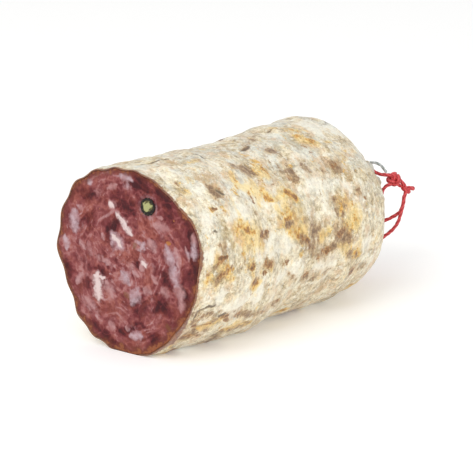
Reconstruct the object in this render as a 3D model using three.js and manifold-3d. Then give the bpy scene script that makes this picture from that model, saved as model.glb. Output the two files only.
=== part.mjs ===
// Half of a cured sausage: the cut end faces -X, the tied end +X, and it lies on z = 0. Millimetres.
import * as THREE from 'three';
import { ParametricGeometry } from 'three/addons/geometries/ParametricGeometry.js';
import { mergeVertices } from 'three/addons/utils/BufferGeometryUtils.js';
import Module from 'manifold-3d';

const wasm = await Module();
wasm.setup();

// Driving dimensions
const touchGap = 0.3; // left between pieces that touch
const profile = {
  // distance from the cut and the radius there: a long barrel, the gathered shoulder, neck and tuft
  along: [0, 15, 38, 60, 78, 91, 100, 107, 109.8, 111.8, 113.5, 115.4, 117.2, 118.6],
  radius: [28.0, 29.7, 28.6, 28.7, 29.0, 26.5, 17.9, 12.6, 8.2, 4.7, 3.9, 4.1, 4.7, 4.0],
};
const centreSide = { along: [0, 40, 80, 113.5, 118.6], y: [0, 0.7, -0.4, -0.4, 2.0] };
const centreHeight = { along: [0, 38, 80, 100, 113.5, 118.6], z: [28.2, 27.6, 28.3, 29.2, 29.4, 28.2] };
const cutTilt = { perSide: -0.093, perHeight: 0.038, height: 29, fadeLength: 25 };
const rimWaves = [
  // times round, cosine part and sine part, all fading with distance from the cut
  [2, 0.75, -0.31],
  [3, -0.8, -0.25],
  [4, 0.04, -0.23],
  [5, 0.12, -0.01],
  [7, 0.19, 0.33],
];
const rimWaveFade = 16;
const neckAt = 113;
const shoulderLength = 15;
const lumpLength = 12;
const lumpAngle = 0.6;
const lumps = [
  // distance from the cut, degrees from the top towards -Y, height
  [2, -45, 1.0],
  [12, -20, -0.8],
  [34, -20, -0.2],
  [56, -20, 0.3],
  [72, -20, 0.3],
  [88, -20, 1.4],
  [2, 150, -1.2],
  [14, 150, -0.3],
  [34, 150, 1.7],
  [58, 150, 0.6],
  [84, 150, 0.9],
  [97, 30, -3.3],
  [105, 55, -1.6],
  [99, 95, -1.3],
  [107, 95, -3.8],
  [0, -110, -0.4],
];
const dimples = [
  // height, radians per mm along, times round, phase
  [0.16, 0.21, 2, 1.3],
  [0.16, -0.34, 3, 0.4],
  [0.16, 0.47, 5, 2.2],
  [0.14, -0.62, 7, 5.1],
  [0.1, 0.83, 9, 3.7],
];
const pleats = { count: 13, depth: 0.95, start: 88, full: 107, share: 0.16, neckCrest: 0.4 };
const rimWrinkles = { count: 19, depth: 0.45, fade: 7 };
const cutRelief = [
  // side and height on the cut, reach, height: the soft hollows and crags that the knife left
  [-19.5, 23.5, 3.4, -0.7],
  [-14.0, 24.0, 3.2, 0.4],
  [4.0, 37.5, 5.0, 0.35],
  [-8.0, 12.0, 4.2, -0.5],
  [12.5, 15.5, 5.0, 0.4],
  [19.0, 34.0, 4.5, -0.35],
  [-15.0, 43.0, 5.0, -0.3],
];
const cutEdgeRound = 0.5;
const cutRings = 11;
const tuftEnd = 118.6;
const peppercorn = { side: 7.4, height: 46.5, radius: 2.7, proud: 0.25 };
const tie = { diameter: 0.9, pitch: 1.0, turns: 2.5, start: 112.5, stepsPerTurn: 12, steps: 64 };
const string = { diameter: 1.15, sides: 8, steps: 68 };
const upperKnot = { at: [118.9, -7.8, 32.3], radius: 1.25, tube: 0.58, turn: [0.5, -0.7, 0.3] };
const lowerKnot = { at: [123.5, -9.5, 28.5], radius: 1.0, tube: 0.6, turn: [0.5, 0.35, 0] };
const neckKnot = { at: [116.4, 7.8, 29.5], radius: 1.2 };
const knotTail = [[124.0, -9.6, 28.6], [125.6, -10.0, 28.7], [127.2, -10.2, 28.2]];
const aroundSteps = 72;

// Points of the tie's end, from the last turn over to the upper knot
const tieEnd = [
  [114.3, 0.4, 37.0],
  [113.9, -1.6, 38.2],
  [114.6, -3.2, 37.8],
  [116.0, -4.6, 36.8],
  [117.0, -5.9, 35.6],
];

// The red string's route: over the neck, through both knots, down, round the loop, back up and under the neck
const stringRoute = [
  [116.3, 7.4, 30.4],
  [116.3, 4.9, 34.0],
  [116.2, 0.8, 35.2],
  [116.1, -2.2, 34.3],
  [116.2, -4.8, 34.0],
  [117.4, -7.1, 34.0],
  [119.4, -8.0, 33.4],
  [121.4, -8.9, 31.4],
  [122.9, -9.8, 28.8],
  [121.3, -10.4, 25.6],
  [120.6, -10.4, 22.9],
  [119.7, -10.3, 20.6],
  [119.1, -9.9, 18.2],
  [118.6, -8.8, 16.0],
  [117.8, -7.3, 14.1],
  [116.4, -5.4, 12.2],
  [113.0, -3.0, 10.0],
  [108.6, -0.8, 8.3],
  [104.2, 1.3, 7.4],
  [101.0, 3.1, 7.7],
  [99.6, 4.1, 9.9],
  [101.0, 3.8, 12.4],
  [104.8, 2.4, 14.0],
  [109.6, 0.2, 15.3],
  [114.4, -2.4, 16.6],
  [117.6, -4.9, 17.7],
  [118.7, -7.2, 19.0],
  [120.3, -9.3, 20.9],
  [121.6, -9.6, 23.0],
  [122.3, -9.5, 25.5],
  [124.1, -9.1, 28.2],
  [121.8, -8.6, 29.6],
  [119.2, -8.0, 30.8],
  [116.6, -6.8, 30.5],
  [116.1, -5.3, 28.6],
  [116.2, -4.4, 25.8],
  [116.4, -1.4, 23.0],
  [116.4, 3.0, 22.5],
  [116.4, 6.5, 24.7],
  [116.3, 7.7, 28.7],
];

// A smooth curve through a few stations: cubic pieces whose slope at a station leans to the nearer neighbour
function smooth(stations, values, x) {
  const last = stations.length - 1;
  const slope = (i) => {
    if (i === 0) return (values[1] - values[0]) / (stations[1] - stations[0]);
    if (i === last) return (values[last] - values[last - 1]) / (stations[last] - stations[last - 1]);
    const before = stations[i] - stations[i - 1];
    const after = stations[i + 1] - stations[i];
    const rise = (values[i] - values[i - 1]) / before;
    const next = (values[i + 1] - values[i]) / after;
    return (rise * after + next * before) / (before + after);
  };
  let i = 0;
  while (i < last - 1 && x > stations[i + 1]) i += 1;
  const span = stations[i + 1] - stations[i];
  const t = THREE.MathUtils.clamp((x - stations[i]) / span, 0, 1);
  const start = (1 + 2 * t) * (1 - t) ** 2 * values[i] + t * (1 - t) ** 2 * span * slope(i);
  const end = t * t * (3 - 2 * t) * values[i + 1] + t * t * (t - 1) * span * slope(i + 1);
  return start + end;
}

// How far the skin stands from the centre line, at a distance from the cut and an angle from the top
function skinRadius(x, angle) {
  let radius = smooth(profile.along, profile.radius, x);
  const body = THREE.MathUtils.clamp((neckAt - x) / shoulderLength, 0, 1);
  for (const [at, degrees, height] of lumps) {
    const away = angle - THREE.MathUtils.degToRad(degrees);
    const turn = Math.atan2(Math.sin(away), Math.cos(away));
    radius += height * Math.exp(-(((x - at) / lumpLength) ** 2) - (turn / lumpAngle) ** 2) * body;
  }
  for (const [times, cosine, sine] of rimWaves) {
    const wave = cosine * Math.cos(times * angle) + sine * Math.sin(times * angle);
    radius += wave * Math.exp(-((x / rimWaveFade) ** 2));
  }
  for (const [height, perMm, times, phase] of dimples) {
    radius += height * Math.sin(perMm * x + times * angle + phase) * body;
  }
  const wrinkle = Math.sin(rimWrinkles.count * angle + 2.5 * Math.sin(2 * angle));
  radius += rimWrinkles.depth * wrinkle * Math.exp(-x / rimWrinkles.fade) * (0.55 - 0.45 * Math.sin(angle));
  const gather = THREE.MathUtils.smoothstep(x, pleats.start, pleats.full);
  const fold = Math.abs(Math.sin(0.5 * pleats.count * angle + 1.2 * Math.sin(angle + 1))) - 0.64;
  const depth = Math.min(pleats.depth, pleats.share * radius);
  return radius + 1.6 * depth * fold * gather;
}

// How far a point of the cut leans along X
function cutLean(y, z) {
  return cutTilt.perSide * y + cutTilt.perHeight * (z - cutTilt.height);
}

// The relief on the cut, towards -X, at a side and a height
function cutHeight(side, height) {
  let rise = 0;
  for (const [at, level, reach, amount] of cutRelief) {
    rise += amount * Math.exp(-((side - at) ** 2 + (height - level) ** 2) / reach ** 2);
  }
  return rise;
}

// A point of the skin, kept on or above the surface that the sausage lies on
function skinPoint(x, angle, shrink = 1) {
  const radius = skinRadius(x, angle) * shrink;
  const y = smooth(centreSide.along, centreSide.y, x) - radius * Math.sin(angle);
  const z = smooth(centreHeight.along, centreHeight.z, x) + radius * Math.cos(angle);
  const lean = THREE.MathUtils.clamp(1 - x / cutTilt.fadeLength, 0, 1) * cutLean(y, z);
  return new THREE.Vector3(x + lean, y, Math.max(z, 0));
}

// The rows of the sausage's grid, from the middle of the cut over its edge and along to the tuft's end
function bodyRows() {
  const rows = [];
  for (let ring = 0; ring <= cutRings; ring += 1) rows.push({ x: 0, shrink: ring / cutRings * 0.985, cut: true });
  rows.push({ x: 0.15 * cutEdgeRound, shrink: 0.996 });
  rows.push({ x: cutEdgeRound, shrink: 1 });
  for (let x = 3; x < pleats.start - 1; x += 3) rows.push({ x, shrink: 1 });
  for (let x = pleats.start; x < 111; x += 1.6) rows.push({ x, shrink: 1 });
  for (let x = 111.2; x < tuftEnd; x += 1.2) rows.push({ x, shrink: 1 });
  rows.push({ x: tuftEnd, shrink: 0.8 });
  rows.push({ x: tuftEnd - 0.5, shrink: 0.4 });
  rows.push({ x: tuftEnd - 0.7, shrink: 0 });
  return rows;
}

// A closed mesh with shared vertices and no faces without area, ready to be a solid
function closedSolid(geometry) {
  geometry.deleteAttribute('normal');
  geometry.deleteAttribute('uv');
  const merged = mergeVertices(geometry, 1e-4);
  const corners = merged.index.array;
  const kept = [];
  for (let i = 0; i < corners.length; i += 3) {
    const [a, b, c] = [corners[i], corners[i + 1], corners[i + 2]];
    if (a !== b && b !== c && c !== a) kept.push(a, b, c);
  }
  return new wasm.Manifold(new wasm.Mesh({
    numProp: 3,
    vertProperties: new Float32Array(merged.attributes.position.array),
    triVerts: new Uint32Array(kept),
  }));
}

function solidGeometry(solid) {
  const mesh = solid.getMesh();
  const geometry = new THREE.BufferGeometry();
  geometry.setAttribute('position', new THREE.BufferAttribute(new Float32Array(mesh.vertProperties), 3));
  geometry.setIndex(new THREE.BufferAttribute(new Uint32Array(mesh.triVerts), 1));
  geometry.computeVertexNormals();
  return geometry;
}

// A round tube with closed ends along a smooth curve through points
function tube(points, diameter, sides, steps) {
  const section = new THREE.Shape();
  for (let i = 0; i < sides; i += 1) {
    const turn = i / sides * 2 * Math.PI;
    const corner = [Math.cos(turn) * diameter / 2, Math.sin(turn) * diameter / 2];
    if (i === 0) section.moveTo(...corner);
    else section.lineTo(...corner);
  }
  section.closePath();
  const extrudePath = new THREE.CatmullRomCurve3(points, false, 'catmullrom', 0.5);
  return closedSolid(new THREE.ExtrudeGeometry(section, { steps, extrudePath, curveSegments: 1 }));
}

const vectors = (points) => points.map((point) => new THREE.Vector3(...point));

// Meat and skin: one body, with a round pocket for the cut peppercorn
function sausageSolid() {
  const rows = bodyRows();
  const surface = (u, v, target) => {
    const row = rows[Math.round(v * (rows.length - 1))];
    target.copy(skinPoint(row.x, u * 2 * Math.PI, row.shrink));
    if (row.cut) target.x -= cutHeight(-target.y, target.z) * (1 - row.shrink ** 6);
  };
  return closedSolid(new ParametricGeometry(surface, aroundSteps, rows.length - 1));
}

function peppercornPlace() {
  const y = -peppercorn.side;
  return new THREE.Vector3(cutLean(y, peppercorn.height), y, peppercorn.height);
}

function ball(radius, place) {
  const geometry = new THREE.SphereGeometry(radius, 16, 10);
  geometry.translate(place.x, place.y, place.z);
  return closedSolid(geometry);
}

// The peppercorn was cut with the meat: a ball whose front is taken off level with the cut
function peppercornSolid() {
  const place = peppercornPlace();
  const front = new THREE.BoxGeometry(10, 10, 10);
  front.translate(-5 - peppercorn.proud, 0, 0);
  front.applyMatrix4(new THREE.Matrix4().makeRotationZ(-Math.atan(cutTilt.perSide)));
  front.translate(place.x, place.y, place.z);
  return ball(peppercorn.radius, place).subtract(closedSolid(front));
}

// Grey twine: turns round the neck, whose end stands up in an arc and runs to the upper knot
function neckTieSolid() {
  const points = [];
  for (let i = 0; i <= tie.turns * tie.stepsPerTurn; i += 1) {
    const turn = i / tie.stepsPerTurn;
    const x = tie.start + turn * tie.pitch;
    const angle = Math.PI * (1 + 2 * turn);
    const nearby = [x - tie.pitch / 2, x, x + tie.pitch / 2];
    const neck = Math.max(...nearby.map((at) => smooth(profile.along, profile.radius, at)));
    const reach = neck + pleats.neckCrest + touchGap + tie.diameter / 2;
    const y = smooth(centreSide.along, centreSide.y, x) - reach * Math.sin(angle);
    const z = smooth(centreHeight.along, centreHeight.z, x) + reach * Math.cos(angle);
    points.push(new THREE.Vector3(x, y, z));
  }
  return tube([...points, ...vectors(tieEnd)], tie.diameter, string.sides, tie.steps);
}

function turned(geometry, turn, at) {
  geometry.applyMatrix4(new THREE.Matrix4().makeRotationFromEuler(new THREE.Euler(...turn)));
  geometry.translate(...at);
  return closedSolid(geometry);
}

// Red string, tied round the neck and knotted twice, with the short tail of the lower knot
function hangingLoopSolid() {
  const strand = tube(vectors(stringRoute), string.diameter, string.sides, string.steps);
  const tail = tube(vectors(knotTail), string.diameter, string.sides, 4);
  const overhand = new THREE.TorusKnotGeometry(upperKnot.radius, upperKnot.tube, 36, string.sides, 2, 3);
  const hitch = new THREE.TorusGeometry(lowerKnot.radius, lowerKnot.tube, string.sides, 14);
  return strand
    .add(tail)
    .add(turned(overhand, upperKnot.turn, upperKnot.at))
    .add(turned(hitch, lowerKnot.turn, lowerKnot.at))
    .add(ball(neckKnot.radius, new THREE.Vector3(...neckKnot.at)));
}

function node(name, solid, look) {
  const mesh = new THREE.Mesh(solidGeometry(solid), new THREE.MeshStandardMaterial(look));
  mesh.name = name;
  return mesh;
}

const pocket = ball(peppercorn.radius + touchGap, peppercornPlace());
const sausage = node('sausage', sausageSolid().subtract(pocket), { color: 0xd9c9ad, roughness: 0.75 });
const corn = node('peppercorn', peppercornSolid(), { color: 0x6f6a38, roughness: 0.5 });
const neckTie = node('neck_tie', neckTieSolid(), { color: 0xa7a9a6, roughness: 0.8 });
const loop = node('hanging_loop', hangingLoopSolid(), { color: 0xcd656b, roughness: 0.6 });

// The origin is below the middle of the sausage, without the string that hangs on it
const held = new THREE.Group();
held.add(sausage, corn, neckTie);
const box = new THREE.Box3().setFromObject(held);
const half = new THREE.Group();
half.add(held, loop);
half.position.set(-(box.min.x + box.max.x) / 2, -(box.min.y + box.max.y) / 2, -box.min.z);

const part = new THREE.Group();
part.add(half);
export default part;
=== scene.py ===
# Cut half of a cured sausage: mouldy casing, chopped meat, a halved peppercorn, a grey tie and a red loop.
import math
import bpy
import numpy as np
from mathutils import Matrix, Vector


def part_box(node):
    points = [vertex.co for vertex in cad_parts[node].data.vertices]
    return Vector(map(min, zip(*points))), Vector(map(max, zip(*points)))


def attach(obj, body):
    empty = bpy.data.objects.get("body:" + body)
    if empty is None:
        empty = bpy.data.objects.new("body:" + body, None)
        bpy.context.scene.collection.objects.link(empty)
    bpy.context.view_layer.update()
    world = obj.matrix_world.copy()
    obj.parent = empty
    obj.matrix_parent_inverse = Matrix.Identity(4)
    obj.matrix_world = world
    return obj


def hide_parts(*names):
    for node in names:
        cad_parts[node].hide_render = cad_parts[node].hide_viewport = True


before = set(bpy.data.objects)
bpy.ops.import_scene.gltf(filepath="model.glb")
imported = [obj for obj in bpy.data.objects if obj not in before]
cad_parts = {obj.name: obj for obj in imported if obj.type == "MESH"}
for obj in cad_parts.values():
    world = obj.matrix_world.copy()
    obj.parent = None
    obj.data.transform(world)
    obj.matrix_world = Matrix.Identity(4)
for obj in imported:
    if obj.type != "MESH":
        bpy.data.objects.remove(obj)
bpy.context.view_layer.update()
mm = 0.001

# Form: the same stations, waves and lumps as the solid, in millimetres in the sausage's own frame.
# There the cut is at x = 0 and the tied end at +X, and it lies on z = 0.

form = {
    "along": [0, 15, 38, 60, 78, 91, 100, 107, 109.8, 111.8, 113.5, 115.4, 117.2, 118.6],
    "radius": [28.0, 29.7, 28.6, 28.7, 29.0, 26.5, 17.9, 12.6, 8.2, 4.7, 3.9, 4.1, 4.7, 4.0],
    "sideAt": [0, 40, 80, 113.5, 118.6],
    "side": [0, 0.7, -0.4, -0.4, 2.0],
    "heightAt": [0, 38, 80, 100, 113.5, 118.6],
    "height": [28.2, 27.6, 28.3, 29.2, 29.4, 28.2],
    "tiltPerSide": -0.093,
    "tiltPerHeight": 0.038,
    "tiltHeight": 29.0,
    "tiltFade": 25.0,
    "rimWaves": [(2, 0.75, -0.31), (3, -0.8, -0.25), (4, 0.04, -0.23), (5, 0.12, -0.01), (7, 0.19, 0.33)],
    "rimWaveFade": 16.0,
    "neck": 113.0,
    "shoulder": 15.0,
    "lumpLength": 12.0,
    "lumpAngle": 0.6,
    "lumps": [  # distance from the cut, degrees from the top towards -Y, height
        (2, -45, 1.0), (12, -20, -0.8), (34, -20, -0.2), (56, -20, 0.3), (72, -20, 0.3), (88, -20, 1.4),
        (2, 150, -1.2), (14, 150, -0.3), (34, 150, 1.7), (58, 150, 0.6), (84, 150, 0.9), (97, 30, -3.3),
        (105, 55, -1.6), (99, 95, -1.3), (107, 95, -3.8), (0, -110, -0.4),
    ],
    "dimples": [  # height, radians per mm along, times round, phase
        (0.16, 0.21, 2, 1.3), (0.16, -0.34, 3, 0.4), (0.16, 0.47, 5, 2.2), (0.14, -0.62, 7, 5.1),
        (0.1, 0.83, 9, 3.7),
    ],
    "pleats": 13,
    "pleatDepth": 0.95,
    "pleatStart": 88.0,
    "pleatFull": 107.0,
    "rimWrinkles": 19,
    "rimWrinkleDepth": 0.45,
    "rimWrinkleFade": 7.0,
    "cutRelief": [  # side and height on the cut, reach, height
        (-19.5, 23.5, 3.4, -0.7), (-14.0, 24.0, 3.2, 0.4), (4.0, 37.5, 5.0, 0.35), (-8.0, 12.0, 4.2, -0.5),
        (12.5, 15.5, 5.0, 0.4), (19.0, 34.0, 4.5, -0.35), (-15.0, 43.0, 5.0, -0.3),
    ],
    "tuftEnd": 118.6,
    "corn": (7.4, 46.5),  # side and height of the peppercorn on the cut
}

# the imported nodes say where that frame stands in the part
sausageLow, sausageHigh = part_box("sausage")
cornLow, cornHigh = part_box("peppercorn")
cornMiddle = (cornLow.y + cornHigh.y) / 2
place = np.array([sausageHigh.x / mm - form["tuftEnd"], cornMiddle / mm + form["corn"][0], 0.0])


def toPart(points):
    # millimetres in the sausage's frame to metres in the part's frame
    return (np.asarray(points, float) + place) * mm


def smoothThrough(stations, values, x):
    # cubic pieces through the stations; the slope at each leans to its nearer neighbour
    stations, values = np.asarray(stations, float), np.asarray(values, float)
    gap = np.diff(stations)
    rise = np.diff(values) / gap
    inner = (rise[:-1] * gap[1:] + rise[1:] * gap[:-1]) / (gap[1:] + gap[:-1])
    slope = np.concatenate([rise[:1], inner, rise[-1:]])
    i = np.clip(np.searchsorted(stations, x) - 1, 0, len(gap) - 1)
    t = np.clip((x - stations[i]) / gap[i], 0, 1)
    start = (1 + 2 * t) * (1 - t) ** 2 * values[i] + t * (1 - t) ** 2 * gap[i] * slope[i]
    end = t * t * (3 - 2 * t) * values[i + 1] + t * t * (t - 1) * gap[i] * slope[i + 1]
    return start + end


def ease(x, low, high):
    # 0 below low, 1 above high, an S-curve between
    t = np.clip((x - low) / (high - low), 0, 1)
    return t * t * (3 - 2 * t)


def skinRadius(x, turn):
    # profile + lumps as bells + waves round the rim + dimples + rim wrinkles + pleats at the neck
    radius = smoothThrough(form["along"], form["radius"], x)
    body = np.clip((form["neck"] - x) / form["shoulder"], 0, 1)
    for at, degrees, height in form["lumps"]:
        away = (turn - math.radians(degrees) + math.pi) % (2 * math.pi) - math.pi
        bell = np.exp(-((x - at) / form["lumpLength"]) ** 2 - (away / form["lumpAngle"]) ** 2)
        radius = radius + height * bell * body
    for times, cosine, sine in form["rimWaves"]:
        wave = cosine * np.cos(times * turn) + sine * np.sin(times * turn)
        radius = radius + wave * np.exp(-((x / form["rimWaveFade"]) ** 2))
    for height, perMm, times, phase in form["dimples"]:
        radius = radius + height * np.sin(perMm * x + times * turn + phase) * body
    wrinkle = np.sin(form["rimWrinkles"] * turn + 2.5 * np.sin(2 * turn)) * (0.55 - 0.45 * np.sin(turn))
    radius = radius + form["rimWrinkleDepth"] * wrinkle * np.exp(-x / form["rimWrinkleFade"])
    fold = np.abs(np.sin(0.5 * form["pleats"] * turn + 1.2 * np.sin(turn + 1))) - 0.64
    depth = np.minimum(form["pleatDepth"], 0.16 * radius)
    return radius + 1.6 * depth * fold * ease(x, form["pleatStart"], form["pleatFull"])


def skinPoint(x, turn, radius):
    # round the centre line at that radius; the end leans as the knife went, and nothing goes below the table
    y = smoothThrough(form["sideAt"], form["side"], x) - radius * np.sin(turn)
    z = smoothThrough(form["heightAt"], form["height"], x) + radius * np.cos(turn)
    lean = form["tiltPerSide"] * y + form["tiltPerHeight"] * (z - form["tiltHeight"])
    lean = np.clip(1 - x / form["tiltFade"], 0, 1) * lean
    return np.stack([x + lean, y, np.maximum(z, 0)], axis=-1)


def cutHeight(side, height):
    # the hollows and crags that the knife left, each a bell
    rise = 0.0
    for at, level, reach, amount in form["cutRelief"]:
        rise = rise + amount * np.exp(-((side - at) ** 2 + (height - level) ** 2) / reach**2)
    return rise


def cloud(points, size, seed):
    # soft noise from 0 to 1: a random slope at each corner of a grid of cells, blended across the cell
    p = np.asarray(points, float) / size + seed * 17.31
    cell = np.floor(p).astype(np.int64)
    f = p - cell
    s = f * f * f * (f * (f * 6 - 15) + 10)
    total = np.zeros(p.shape[:-1])
    for corner in np.ndindex(2, 2, 2):
        c = cell + np.array(corner)
        h = c[..., 0] * 374761393 + c[..., 1] * 668265263 + c[..., 2] * 1440662683 + seed * 974634777
        h = h & 0xFFFFFFFF
        h = ((h ^ (h >> 13)) * 1274126177) & 0xFFFFFFFF
        h = h ^ (h >> 16)
        slope = np.stack([h & 1023, (h >> 10) & 1023, (h >> 20) & 1023], axis=-1) / 511.5 - 1
        weight = np.prod(np.where(np.array(corner) == 1, s, 1 - s), axis=-1)
        total += weight * ((f - np.array(corner)) * slope).sum(-1)
    return np.clip(0.5 + 0.75 * total, 0, 1)


def clouds(points, size, seed, layers=3):
    # layers of soft noise, each half the size and half the weight of the last
    shares = [0.5**layer for layer in range(layers)]
    total = sum(share * cloud(points, size * share, seed + layer) for layer, share in enumerate(shares))
    return total / sum(shares)


def markField(u, v, marks, soft=False):
    # how far inside the nearest mark a point is: 1 on its line, 0.5 at its edge, 0 at twice its half width;
    # a mark narrows by half towards both ends, and a soft field falls off as a bell that reaches further out
    field = np.zeros(np.shape(u))
    for u0, v0, u1, v1, half in marks:
        du, dv = u1 - u0, v1 - v0
        t = np.clip(((u - u0) * du + (v - v0) * dv) / max(du * du + dv * dv, 1e-9), 0, 1)
        away = np.hypot(u - u0 - t * du, v - v0 - t * dv)
        wide = half * (1 - 0.5 * (2 * t - 1) ** 4)
        inside = np.exp(-((away / (1.5 * wide)) ** 2)) if soft else np.clip(1 - away / (2 * wide), 0, 1)
        field = np.maximum(field, inside)
    return field


def bellRound(degrees, at, spread):
    # a bell round the girth: 1 at that angle, falling off over the spread
    return np.exp(-((((degrees - at + 180) % 360 - 180) / spread) ** 2))


def fullTurn(around):
    # so many even angles round the girth, as one row
    return np.linspace(0, 2 * np.pi, around, endpoint=False)[None]


# Making meshes

def addGrid(name, points, attributes, material, nodes):
    # rows of points that close on themselves; the middle of the first and of the last row closes the ends
    rows, columns = points.shape[:2]
    ring = np.arange(columns)
    onward = (ring + 1) % columns
    begin = np.arange(rows - 1)[:, None] * columns
    here, after = begin + ring, begin + onward
    quads = np.stack([here, after, after + columns, here + columns], -1).reshape(-1, 4)
    first = np.stack([np.full(columns, rows * columns), onward, ring], -1)
    base = (rows - 1) * columns
    last = np.stack([np.full(columns, rows * columns + 1), base + ring, base + onward], -1)
    verts = np.vstack([points.reshape(-1, 3), points[0].mean(0), points[-1].mean(0)])
    mesh = bpy.data.meshes.new(name)
    mesh.vertices.add(len(verts))
    mesh.vertices.foreach_set("co", toPart(verts).astype(np.float32).ravel())
    corners = np.concatenate([quads.ravel(), first.ravel(), last.ravel()]).astype(np.int32)
    fans = quads.size + np.arange(2 * columns) * 3
    starts = np.concatenate([np.arange(len(quads)) * 4, fans]).astype(np.int32)
    mesh.loops.add(len(corners))
    mesh.loops.foreach_set("vertex_index", corners)
    mesh.polygons.add(len(starts))
    mesh.polygons.foreach_set("loop_start", starts)
    mesh.polygons.foreach_set("use_smooth", np.ones(len(starts), bool))
    mesh.update(calc_edges=True)
    mesh.validate()
    for label, values in attributes.items():
        values = np.append(values, [values[0].mean(), values[-1].mean()]).astype(np.float32)
        mesh.attributes.new(label, "FLOAT", "POINT").data.foreach_set("value", values)
    piece = bpy.data.objects.new(name, mesh)
    bpy.context.scene.collection.objects.link(piece)
    mesh.materials.append(material)
    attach(piece, "root")
    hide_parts(*nodes)
    print(name, len(quads) * 2 + 2 * columns, "triangles")
    return piece


# Making materials

def paint(colour):
    # a colour as it looks on screen, 0 to 255, turned into light
    s = np.array(colour) / 255
    return (*np.where(s <= 0.04045, s / 12.92, ((s + 0.055) / 1.055) ** 2.4), 1.0)


def newMaterial(name):
    material = bpy.data.materials.new(name)
    material.use_nodes = True
    tree = material.node_tree
    tree.nodes.clear()
    output = tree.nodes.new("ShaderNodeOutputMaterial")
    shader = tree.nodes.new("ShaderNodeBsdfPrincipled")
    tree.links.new(shader.outputs["BSDF"], output.inputs["Surface"])
    return material, tree, shader


def join(tree, source, socket):
    # a socket takes a link from another node, a colour as it looks on screen or a plain number
    if isinstance(source, bpy.types.NodeSocket):
        tree.links.new(source, socket)
    elif isinstance(source, tuple):
        socket.default_value = paint(source)
    else:
        socket.default_value = source


def attribute(tree, name):
    node = tree.nodes.new("ShaderNodeAttribute")
    node.attribute_name = name
    return node.outputs["Fac"]


def grain(tree, size, detail, rough, stretch=(1, 1, 1), move=0.0):
    # noise of that size in millimetres on the object's own coordinates, longer by stretch along each axis
    mapping = tree.nodes.new("ShaderNodeMapping")
    mapping.vector_type = "TEXTURE"
    mapping.inputs["Scale"].default_value = stretch
    mapping.inputs["Location"].default_value = (move, move * 0.7, move * 1.3)
    tree.links.new(tree.nodes.new("ShaderNodeTexCoord").outputs["Object"], mapping.inputs["Vector"])
    noise = tree.nodes.new("ShaderNodeTexNoise")
    noise.inputs["Scale"].default_value = 1 / (size * mm)
    noise.inputs["Detail"].default_value = detail
    noise.inputs["Roughness"].default_value = rough
    tree.links.new(mapping.outputs["Vector"], noise.inputs["Vector"])
    return noise.outputs["Fac"]


def calc(tree, operation, a, b=0.0, c=0.0):
    node = tree.nodes.new("ShaderNodeMath")
    node.operation = operation
    for value, socket in zip((a, b, c), node.inputs):
        join(tree, value, socket)
    return node.outputs["Value"]


def swing(tree, noise, amount, onto=0.0):
    # how far the noise is from its middle, times the amount, added onto another value
    return calc(tree, "MULTIPLY_ADD", calc(tree, "SUBTRACT", noise, 0.5), amount, onto)


def between(tree, value, low, high, bottom=0.0, top=1.0):
    # an S-curve from bottom at low to top at high
    node = tree.nodes.new("ShaderNodeMapRange")
    node.interpolation_type = "SMOOTHSTEP"
    for label, number in (("From Min", low), ("From Max", high), ("To Min", bottom), ("To Max", top)):
        node.inputs[label].default_value = number
    tree.links.new(value, node.inputs["Value"])
    return node.outputs["Result"]


def blend(tree, amount, under, over, mode="MIX"):
    # sockets 0, 6 and 7 are the amount and the two colours, output 2 the colour
    node = tree.nodes.new("ShaderNodeMix")
    node.data_type = "RGBA"
    node.blend_type = mode
    join(tree, amount, node.inputs[0])
    join(tree, under, node.inputs[6])
    join(tree, over, node.inputs[7])
    return node.outputs[2]


def cover(tree, under, over, value, low, high, most, mode="MIX"):
    # lays one colour over another: none of it where the value is at low, the most at high
    return blend(tree, between(tree, value, low, high, 0, most), under, over, mode)


def ramp(tree, value, stops):
    # colours at places from 0 to 1
    node = tree.nodes.new("ShaderNodeValToRGB")
    elements = node.color_ramp.elements
    while len(elements) < len(stops):
        elements.new(0.5)
    for element, (at, colour) in zip(elements, stops):
        element.position = at
        element.color = paint(colour)
    tree.links.new(value, node.inputs["Fac"])
    return node.outputs["Color"]


def bump(tree, shader, height, depth, strength):
    node = tree.nodes.new("ShaderNodeBump")
    node.inputs["Strength"].default_value = strength
    node.inputs["Distance"].default_value = depth * mm
    tree.links.new(height, node.inputs["Height"])
    tree.links.new(node.outputs["Normal"], shader.inputs["Normal"])


def soak(shader, weight, reach, scale):
    # light sinks in and spreads, as far as the reach in millimetres for red, green and blue
    shader.inputs["Subsurface Weight"].default_value = weight
    shader.inputs["Subsurface Radius"].default_value = tuple(step * mm for step in reach)
    shader.inputs["Subsurface Scale"].default_value = scale


# Camera, light and floor

studio = {
    "azimuth": -48.0,
    "elevation": 16.0,
    "distance": 700.0,
    "lens": 168.9,
    "lookAt": (48.76, 0.0, 25.88),
    # azimuth, elevation, watts and size
    "lights": [("keyLight", -80, 42, 3.2, 0.6), ("fillLight", -15, 14, 2.0, 0.9)],
    "lightDistance": 900.0,
    "sky": 0.8,
    "floor": (252, 252, 251),
    "floorHalf": 3.0,
    "floorGlow": 0.12,
}


def lookFrom(azimuth, elevation, distance):
    # azimuth 0 looks along +Y; the point at that distance from the point looked at
    a, e = math.radians(azimuth), math.radians(elevation)
    back = np.array([math.sin(a) * math.cos(e), -math.cos(a) * math.cos(e), math.sin(e)])
    return Vector(toPart(np.array(studio["lookAt"]) + back * distance))


def aim(thing, spot):
    thing.location = spot
    thing.rotation_euler = (Vector(toPart(studio["lookAt"])) - spot).to_track_quat("-Z", "Y").to_euler()
    bpy.context.scene.collection.objects.link(thing)


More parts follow.
